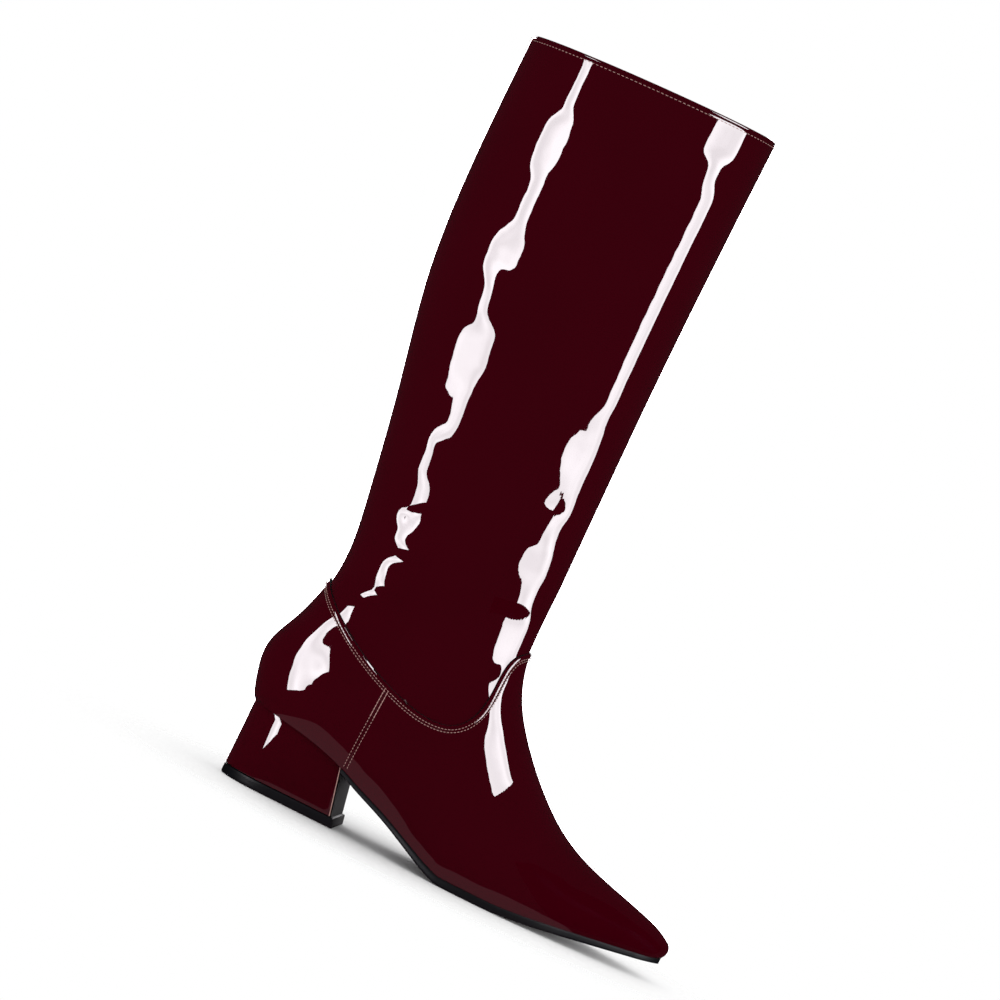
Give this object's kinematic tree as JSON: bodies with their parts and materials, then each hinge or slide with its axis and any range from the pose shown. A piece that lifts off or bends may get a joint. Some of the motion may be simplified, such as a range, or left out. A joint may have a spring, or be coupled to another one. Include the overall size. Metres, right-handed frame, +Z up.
{
  "type": "knee-high boot",
  "caption": "Right knee-high boot in dark red patent leather with a pointed toe, a low block heel, a thin sole and a half-length zip on the inner side.",
  "frame": {"origin": "on the floor, under the middle of the boot's box", "axes": "+X from heel to toe, +Y to the inner side where the zip is, +Z up"},
  "size_m": [0.2845, 0.099, 0.44],
  "materials": {
    "upper_patent": "dark red patent leather with a mirror-like lacquer",
    "sole": "black, satin edge",
    "insole_lining": "matte lining",
    "heel_patent": "dark red patent leather wrapped over the heel",
    "lift": "black, matte",
    "breast_facing": "black, satin",
    "zip_tape": "dyed woven tape with a nylon coil",
    "zip_slider": "dark red enamel",
    "zip_pull": "dark red enamel"
  },
  "bodies": {
    "boot": {"upper": "upper_patent", "outsole": "sole", "insole": "insole_lining", "heel_block": "heel_patent", "heel_lift": "lift", "heel_breast": "breast_facing", "zip_tape": "zip_tape", "zip_slider": "zip_slider"},
    "zip_pull": {"zip_pull": "zip_pull"}
  },
  "joints": [
    {"name": "zip_pull_hinge", "type": "hinge", "parent": "boot", "child": "zip_pull", "pos_m": [-0.05817, 0.04684, 0.25177], "axis": [0.9893, -0.0849, 0.1188], "range_deg": [-4, 165]}
  ]
}
